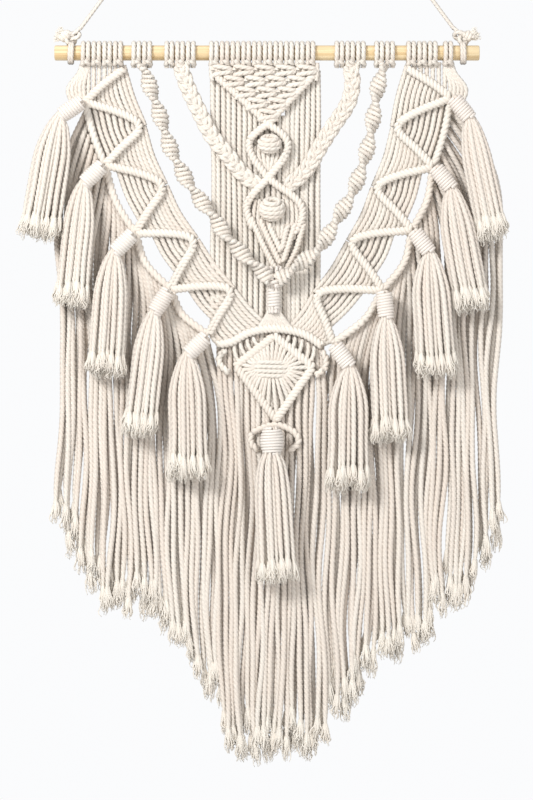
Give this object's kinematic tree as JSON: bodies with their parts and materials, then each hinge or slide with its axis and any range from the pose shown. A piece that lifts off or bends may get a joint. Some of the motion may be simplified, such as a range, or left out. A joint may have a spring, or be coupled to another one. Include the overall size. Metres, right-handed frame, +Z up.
{
  "type": "tapestry wall hanging",
  "caption": "Wall hanging of knotted cotton rope on a wooden dowel, hung by a cord, with hitched diamonds, plaited and spiral swags, wrapped tassels and a long fringe.",
  "frame": {"origin": "where the hanger cord rests on its hook, under the bend of the cord", "axes": "+Z up, +X to the viewer's right along the dowel, the viewer on the -Y side and the wall on the +Y side"},
  "size_m": [0.4879, 0.0483, 1.0063],
  "materials": {
    "cotton_rope": "matte, natural undyed three-strand rope",
    "pine_dowel": "plain sanded pine"
  },
  "bodies": {
    "hanger": {"hanger_cord": "cotton_rope", "hanger_knot_left": "cotton_rope", "hanger_knot_right": "cotton_rope"},
    "panel": {"dowel": "pine_dowel", "larks_heads_wing_left": "cotton_rope", "larks_heads_spiral_left": "cotton_rope", "larks_heads_braid_left": "cotton_rope", "larks_heads_centre": "cotton_rope", "larks_heads_braid_right": "cotton_rope", "larks_heads_spiral_right": "cotton_rope", "larks_heads_wing_right": "cotton_rope", "larks_heads_edge_right": "cotton_rope", "square_knot_panel": "cotton_rope", "v_bars": "cotton_rope", "upper_eye": "cotton_rope", "upper_berry": "cotton_rope", "lower_eye": "cotton_rope", "lower_berry": "cotton_rope", "chevron_bars": "cotton_rope", "gathering_wrap": "cotton_rope", "flared_cords": "cotton_rope", "arch_bar": "cotton_rope", "drop_cords_left": "cotton_rope", "drop_cords_right": "cotton_rope", "medallion_frame": "cotton_rope", "medallion_knot": "cotton_rope", "link_cords_left": "cotton_rope", "link_cords_right": "cotton_rope", "side_chain_left": "cotton_rope", "side_chain_right": "cotton_rope", "lower_ring": "cotton_rope", "braid_left": "cotton_rope", "braid_right": "cotton_rope", "spiral_left": "cotton_rope", "spiral_right": "cotton_rope", "hitch_bars_left_1": "cotton_rope", "hitch_bars_left_2": "cotton_rope", "hitch_bars_left_3": "cotton_rope", "hitch_bars_left_4": "cotton_rope", "wing_cords_left": "cotton_rope", "hitch_bars_right_1": "cotton_rope", "hitch_bars_right_2": "cotton_rope", "hitch_bars_right_3": "cotton_rope", "hitch_bars_right_4": "cotton_rope", "wing_cords_right": "cotton_rope", "fringe_left": "cotton_rope", "fringe_right": "cotton_rope", "fringe_centre": "cotton_rope"},
    "tassel_left_1": {"tassel_left_1": "cotton_rope"},
    "tassel_left_2": {"tassel_left_2": "cotton_rope"},
    "tassel_left_3": {"tassel_left_3": "cotton_rope"},
    "tassel_left_4": {"tassel_left_4": "cotton_rope"},
    "tassel_left_5": {"tassel_left_5": "cotton_rope"},
    "tassel_right_1": {"tassel_right_1": "cotton_rope"},
    "tassel_right_2": {"tassel_right_2": "cotton_rope"},
    "tassel_right_3": {"tassel_right_3": "cotton_rope"},
    "tassel_right_4": {"tassel_right_4": "cotton_rope"},
    "tassel_right_5": {"tassel_right_5": "cotton_rope"},
    "tassel_centre": {"tassel_centre": "cotton_rope"}
  },
  "joints": [
    {"name": "panel_swing", "type": "hinge", "parent": "hanger", "child": "panel", "pos_m": [0, 0, -0.29], "axis": [-1, 0, 0], "range_deg": [0, 60]},
    {"name": "tassel_left_1_swing", "type": "hinge", "parent": "panel", "child": "tassel_left_1", "pos_m": [-0.182, -0.01165, -0.3325], "axis": [-1, 0, 0], "range_deg": [0, 75]},
    {"name": "tassel_left_2_swing", "type": "hinge", "parent": "panel", "child": "tassel_left_2", "pos_m": [-0.162, -0.01165, -0.3965], "axis": [-1, 0, 0], "range_deg": [0, 75]},
    {"name": "tassel_left_3_swing", "type": "hinge", "parent": "panel", "child": "tassel_left_3", "pos_m": [-0.132, -0.01165, -0.4646], "axis": [-1, 0, 0], "range_deg": [0, 75]},
    {"name": "tassel_left_4_swing", "type": "hinge", "parent": "panel", "child": "tassel_left_4", "pos_m": [-0.097, -0.01165, -0.522], "axis": [-1, 0, 0], "range_deg": [0, 75]},
    {"name": "tassel_left_5_swing", "type": "hinge", "parent": "panel", "child": "tassel_left_5", "pos_m": [-0.059, -0.01165, -0.5665], "axis": [-1, 0, 0], "range_deg": [0, 75]},
    {"name": "tassel_right_1_swing", "type": "hinge", "parent": "panel", "child": "tassel_right_1", "pos_m": [0.184, -0.01165, -0.3303], "axis": [-1, 0, 0], "range_deg": [0, 75]},
    {"name": "tassel_right_2_swing", "type": "hinge", "parent": "panel", "child": "tassel_right_2", "pos_m": [0.166, -0.01165, -0.3994], "axis": [-1, 0, 0], "range_deg": [0, 75]},
    {"name": "tassel_right_3_swing", "type": "hinge", "parent": "panel", "child": "tassel_right_3", "pos_m": [0.145, -0.01165, -0.4626], "axis": [-1, 0, 0], "range_deg": [0, 75]},
    {"name": "tassel_right_4_swing", "type": "hinge", "parent": "panel", "child": "tassel_right_4", "pos_m": [0.116, -0.01165, -0.5269], "axis": [-1, 0, 0], "range_deg": [0, 75]},
    {"name": "tassel_right_5_swing", "type": "hinge", "parent": "panel", "child": "tassel_right_5", "pos_m": [0.066, -0.01165, -0.5757], "axis": [-1, 0, 0], "range_deg": [0, 75]},
    {"name": "tassel_centre_swing", "type": "hinge", "parent": "panel", "child": "tassel_centre", "pos_m": [0.005, -0.01165, -0.6626], "axis": [-1, 0, 0], "range_deg": [0, 75]}
  ]
}
